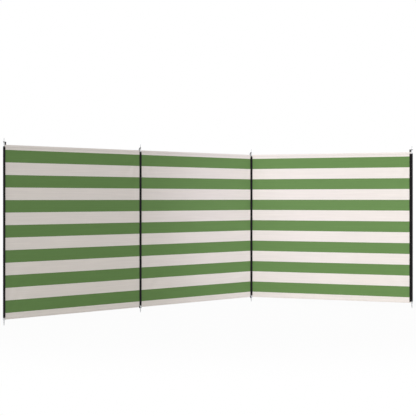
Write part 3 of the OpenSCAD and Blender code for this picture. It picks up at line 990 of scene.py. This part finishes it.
def make_tacks(pole, trim, thread, place, end, drop):
    """Thread wound over the sewn ends of a loop, in two groups on each end."""
    turns = bmesh.new()
    thread_r, wind = 0.3 * MM, 0.62
    for side in (-1, 1):
        for group in (2.2, 8.2):
            for turn in range(5):
                level = -drop - (group + wind * turn) * MM
                start = Vector((end.x + trim.cord_d / 2 + 0.1 * MM, side * end.y, level))
                made = bmesh.ops.create_circle(
                    turns, cap_ends=False, segments=6, radius=thread_r,
                    matrix=Matrix.Translation(start) @ Matrix.Rotation(math.pi / 2, 4, "X"),
                )["verts"]
                rim = {e for v in made for e in v.link_edges}
                bmesh.ops.spin(
                    turns, geom=list(made) + list(rim), cent=(end.x, side * end.y, level), axis=(0, 0, side),
                    angle=math.pi, steps=9, use_duplicate=False,
                )
    bmesh.ops.remove_doubles(turns, verts=turns.verts, dist=1e-6)
    turns.transform(place)
    outward(turns)
    add_piece(f"loop_tacks_{pole}", turns, thread, "elastic_cord", f"tension_loops_{pole}", False)


class WINDBREAK_OT_loops(bpy.types.Operator):
    """Makes the elastic loops that hook the cloth's corners over the pins of the middle poles"""

    bl_idname = "windbreak.loops"
    bl_label = "Corner loops"

    def execute(self, context):
        trim = context.scene.windbreak_trim
        braided = cord_finish(trim)
        thread = thread_finish("loop_thread", trim.thread)
        seat = PLAY + trim.cord_d / 2
        head = BUSH_HIGH + PIN_SEAT + seat
        drop = head - CLOTH_HIGH
        route = loop_route(trim, PIN_R - PLAY + seat, drop)
        for pole in POLES[1:-1]:
            place = corner_place(pole, head)
            make_loop(pole, trim, braided, place, route)
            make_tacks(pole, trim, thread, place, route[-1], drop)
        return {"FINISHED"}


def plate(outline, thickness):
    """A flat outline drawn out to a plate."""
    bm = bmesh.new()
    face = bmesh.ops.contextual_create(bm, geom=[bm.verts.new(p) for p in outline])["faces"]
    grown = bmesh.ops.extrude_face_region(bm, geom=face)["geom"]
    bmesh.ops.translate(bm, verts=only(bmesh.types.BMVert, grown), vec=thickness)
    outward(bm)
    return bm


def soften(bm, width):
    """Rounds the edges that are sharper than the facets of a curve."""
    round_over(bm, sharp_edges(bm, 35), width, 3)


def eye_tab(trim, edge, hole_r, drop, tail_w, place):
    """A ring that drops over the pin or spike, an arm and a tail with round corners."""
    eye_r, half = trim.eye_d / 2, trim.eye_h / 2
    near_x, near_y = CLOTH_X + trim.tail_inset, HEM_T / 2 + PLAY
    far_x, far_y = near_x + tail_w, near_y + trim.tail_t
    tab = spun([(hole_r, 0, -half), (eye_r, 0, -half), (eye_r, 0, half), (hole_r, 0, half)], EYE_SIDES, True)
    soften(tab, 0.7 * MM)
    root_x = hole_r + 1 * MM
    arm_outline = (
        (root_x, -eye_r * 0.72), (near_x, near_y), (far_x, near_y), (far_x, far_y), (near_x, far_y),
        (root_x, eye_r * 0.86),
    )
    arm = plate([(x, y, -half) for x, y in arm_outline], (0, 0, trim.eye_h - 0.2 * MM))
    soften(arm, 2 * edge)
    add_to(tab, arm)
    low, high = -drop - trim.tail_sewn, half - 0.3 * MM
    tail_outline = ((near_x, low), (far_x, low), (far_x, high), (near_x, high))
    tail = plate([(x, near_y, z) for x, z in tail_outline], (0, trim.tail_t, 0))
    corners = [
        e for e in tail.edges
        if all(abs(v.co.z - low) < 1e-6 for v in e.verts) and abs(e.verts[0].co.y - e.verts[1].co.y) > 1e-6
    ]
    round_over(tail, corners, trim.tail_corner, 6)
    soften(tail, 2 * edge)
    add_to(tab, tail)
    tab.transform(place)
    outward(tab)
    return tab


def tab_stitches(trim, drop, tail_w, place):
    """Rows that sew a tail down, on the tail and on the far face of the hem."""
    bm = bmesh.new()
    pitch = trim.stitch * CLOSE_SPACING
    inset = 2.6 * MM
    count = int((tail_w - 2 * inset) / pitch) + 1
    for depth in (2.4, 6.2, 10.0):
        for y, side in ((HEM_T / 2 + PLAY + trim.tail_t, 1), (-HEM_T / 2, -1)):
            start = Vector((CLOTH_X + trim.tail_inset + inset, y + side * 0.05 * MM, -drop - depth * MM))
            stitch_row(bm, start, ALONG, Vector((0, side, 0)), pitch, trim.stitch, count)
    bm.transform(place)
    outward(bm)
    return bm


class WINDBREAK_OT_eye_tabs(bpy.types.Operator):
    """Makes the moulded eye tabs: at the heads of the end poles and at the feet of the middle ones"""

    bl_idname = "windbreak.eye_tabs"
    bl_label = "Eye tabs"

    def execute(self, context):
        trim = context.scene.windbreak_trim
        metal = context.scene.windbreak_metal
        nylon = nylon_finish("tab_nylon", metal)
        thread = thread_finish("tab_thread", trim.thread)
        head = BUSH_HIGH + PIN_SEAT + PLAY + trim.eye_h / 2
        foot = BUSH_LOW - FOOT_H - PLAY - trim.eye_h / 2
        for pole in POLES:
            node = f"tension_loops_{pole}"
            at_head = pole in (POLES[0], POLES[-1])
            if at_head:
                behind = Matrix.Diagonal((1, 1 if pole == POLES[0] else -1, 1, 1))
                place = corner_place(pole, head) @ behind
                drop, hole_r, tail_w = head - CLOTH_HIGH, PIN_R + PLAY, trim.head_tail_w
            else:
                place = corner_place(pole, foot) @ UPSIDE_DOWN
                drop, hole_r, tail_w = CLOTH_LOW - foot, SPIKE_R + PLAY, trim.foot_tail_w
            tab = eye_tab(trim, metal.edge, hole_r, drop, tail_w, place)
            add_piece(f"eye_tab_{pole}", tab, nylon, "black_nylon", node, at_head, sharp=35)
            stitches = tab_stitches(trim, drop, tail_w, place)
            add_piece(f"tab_stitches_{pole}", stitches, thread, "black_nylon", node, False)
        return {"FINISHED"}


def free_end(low, free_r, reach, tip_h, tip_r):
    """Half outline of the neck and the free end past it, in millimetres from the bush outwards."""
    neck_r, neck_high = free_r - 0.3, low + 5.2
    neck = [(neck_r, low), (neck_r, neck_high)]
    return neck + [(free_r, neck_high), (free_r, reach - tip_h), (tip_r, reach), (0, reach)]


def turned(parts, edge):
    """Spins each outline about its pole and rounds the sharp edges."""
    bm = bmesh.new()
    for outline, place in parts:
        part = spun([(r * MM, 0, z * MM) for r, z in outline], TURNED_SIDES, outline[0][0] > 0)
        outward(part)
        rims = [
            e for e in sharp_edges(part, 25)
            if e.calc_length() < 2.5 * MM and abs(e.verts[0].co.z - e.verts[1].co.z) < 1e-7
        ]
        round_over(part, rims, edge, 2)
        part.transform(place)
        outward(part)
        add_to(bm, part)
    return bm


class WINDBREAK_OT_pole_ends(bpy.types.Operator):
    """Turns the pins, spikes and bushes at the ends of the poles"""

    bl_idname = "windbreak.pole_ends"
    bl_label = "Pole ends"

    def execute(self, context):
        metal = context.scene.windbreak_metal
        zinc = zinc_finish(metal)
        nylon = nylon_finish("black_nylon", metal)
        seat, foot, foot_r, cap_r = PIN_SEAT / MM, FOOT_H / MM, SLEEVE_R / MM - 0.1, TUBE_R / MM
        tang = [(0, -24), (4, -24), (4.5, -23.5), (4.5, 0)]
        collar = [(6.5, 0), (6.5, 1.5), (6, 2), (4.5, 2)]
        shoulder = [(4.5, seat - 2.5), (5.5, seat - 2.5), (6, seat - 2), (6, seat)]
        block = [(foot_r - 0.5, 0), (foot_r, 0.5), (foot_r, foot - 0.5), (foot_r - 0.5, foot)]
        pin = tang + collar + shoulder + free_end(seat, PIN_R / MM, 72, 4, 1.5)
        spike = tang + block + free_end(foot, SPIKE_R / MM, 64, 34, 2)
        plug = cap_r - 0.9
        bush = [
            (4.6, -28), (plug - 0.5, -28), (plug, -27), (plug, -22), (plug - 0.25, -21.6), (plug - 0.25, -12),
            (plug, -11.6), (plug, 0), (cap_r, 0), (cap_r, 2.3), (cap_r - 0.7, 3), (5.9, 3), (5.7, 2.8), (4.6, 2.8),
        ]
        for pole in POLES:
            head, base, top, bottom = (
                Matrix.Translation(FOOT[pole] + UP * level) for level in (BUSH_HIGH, BUSH_LOW, TUBE_HIGH, TUBE_LOW)
            )
            for name, node, finish, slot, parts in (
                ("head_pin", "top_pin", zinc, "zinc_steel", [(pin, head)]),
                ("foot_spike", "ground_spike", zinc, "zinc_steel", [(spike, base @ UPSIDE_DOWN)]),
                ("tube_bushes", "end_bushes", nylon, "black_nylon", [(bush, top), (bush, bottom @ UPSIDE_DOWN)]),
            ):
                add_piece(f"{name}_{pole}", turned(parts, metal.edge), finish, slot, f"{node}_{pole}", sharp=30)
        return {"FINISHED"}


class WINDBREAK_OT_pole_tubes(bpy.types.Operator):
    """Coats the steel tubes of the poles"""

    bl_idname = "windbreak.pole_tubes"
    bl_label = "Pole tubes"

    def execute(self, context):
        coat = coat_finish(context.scene.windbreak_metal)
        for pole in POLES:
            tube = frame["nodes"][f"pole_tube_{pole}"]
            for spot in tube.material_slots:
                spot.material = coat
        return {"FINISHED"}


def add_lamp(name, kind, away, energy, tint):
    """A lamp whose light comes from the side that a vector points to."""
    data = bpy.data.lights.new(name, kind)
    data.energy = energy
    data.color = tint
    lamp = put(name, data)
    lamp.rotation_mode = "QUATERNION"
    lamp.rotation_quaternion = away.to_track_quat("Z", "Y")
    return lamp


def add_spot(name, place, aim, reach, strength, tint):
    """A soft lamp that covers a radius round its aim; a strength of one lights a white wall to white."""
    away = Vector(place) - aim
    lamp = add_lamp(name, "SPOT", away, strength * 4 * math.pi ** 2 * away.length_squared, tint)
    lamp.location = place
    lamp.data.spot_size = 2 * math.atan(reach / away.length)
    lamp.data.spot_blend = 1.0
    lamp.data.shadow_soft_size = LAMP_R


class WINDBREAK_OT_stage(bpy.types.Operator):
    """Sets the pale floor, the soft light and the camera"""

    bl_idname = "windbreak.stage"
    bl_label = "Stage"

    def execute(self, context):
        stage = context.scene.windbreak_stage
        self.floor(stage)
        self.light(context, stage)
        self.camera(context, stage)
        context.scene.view_settings.view_transform = "Standard"
        return {"FINISHED"}

    def floor(self, stage):
        """A wide disc under the spikes."""
        bm = bmesh.new()
        bmesh.ops.create_circle(bm, cap_ends=True, segments=96, radius=FLOOR_R)
        mesh = mesh_of("studio_floor", bm)
        mesh.materials.append(floor_finish(stage))
        put("studio_floor", mesh)

    def light(self, context, stage):
        """A white surround that lights softly, a wide key lamp and two soft lamps for the corner."""
        sky = Finish("studio_world", "worlds", "Background")
        level = sky.node("ShaderNodeMapRange", sockets={"Value": sky.seen(), "To Min": stage.sky, "To Max": 1.0})
        sky.surface(Color=(1, 1, 1), Strength=level)
        context.scene.world = sky.made
        key = add_lamp("soft_key", "SUN", Vector(stage.key_from), stage.key, KEY_TINT)
        key.data.angle = stage.key_width
        middle = FOOT[3] + UP * ((CLOTH_LOW + CLOTH_HIGH) / 2 + 0.1)
        corner = middle + Vector((0.1, 0, 0))
        beside = middle + BAY[3].to_3x3() @ Vector((0.2, 0, 0))
        add_spot("corner_fill", stage.fill_from, corner, stage.fill_reach, stage.fill, CORNER_TINT)
        add_spot("last_bay_fill", stage.last_from, beside, stage.last_reach, stage.last_fill, LAST_BAY_TINT)

    def camera(self, context, stage):
        """A level camera with its picture shifted."""
        data = bpy.data.cameras.new("camera")
        data.sensor_width = SENSOR_W
        data.lens = stage.lens
        data.shift_x, data.shift_y = stage.shift
        camera = put("camera", data)
        camera.location = stage.eye
        camera.rotation_euler = polar(1, stage.yaw).to_track_quat("-Z", "Y").to_euler()
        context.scene.camera = camera


class VIEW3D_PT_windbreak(bpy.types.Panel):
    """Lists the windbreak's sizes and the steps that make it"""

    bl_label = "Beach Windbreak"
    bl_space_type = "VIEW_3D"
    bl_region_type = "UI"
    bl_category = "Windbreak"

    def draw(self, context):
        for name, group, steps in GROUPS:
            box = self.layout.box()
            settings = getattr(context.scene, name)
            for key in group.__annotations__:
                box.prop(settings, key)
            for step in steps:
                box.operator(step.bl_idname)


GROUPS = (
    ("windbreak_cloth", WindbreakCloth, (WINDBREAK_OT_cloth,)),
    ("windbreak_trim", WindbreakTrim, (
        WINDBREAK_OT_edge_tapes, WINDBREAK_OT_sleeves, WINDBREAK_OT_loops, WINDBREAK_OT_eye_tabs,
    )),
    ("windbreak_metal", WindbreakMetal, (WINDBREAK_OT_pole_ends, WINDBREAK_OT_pole_tubes)),
    ("windbreak_stage", WindbreakStage, (WINDBREAK_OT_stage,)),
)


def register():
    for name, group, steps in GROUPS:
        bpy.utils.register_class(group)
        setattr(bpy.types.Scene, name, bpy.props.PointerProperty(type=group))
        for step in steps:
            bpy.utils.register_class(step)
    bpy.utils.register_class(VIEW3D_PT_windbreak)


def unregister():
    bpy.utils.unregister_class(VIEW3D_PT_windbreak)
    for name, group, steps in reversed(GROUPS):
        for step in reversed(steps):
            bpy.utils.unregister_class(step)
        delattr(bpy.types.Scene, name)
        bpy.utils.unregister_class(group)


def main():
    register()
    bpy.ops.windbreak.stage()
    bpy.ops.windbreak.sleeves()
    bpy.ops.windbreak.cloth()
    bpy.ops.windbreak.edge_tapes()
    bpy.ops.windbreak.loops()
    bpy.ops.windbreak.eye_tabs()
    bpy.ops.windbreak.pole_ends()
    bpy.ops.windbreak.pole_tubes()


if __name__ == "__main__":
    main()
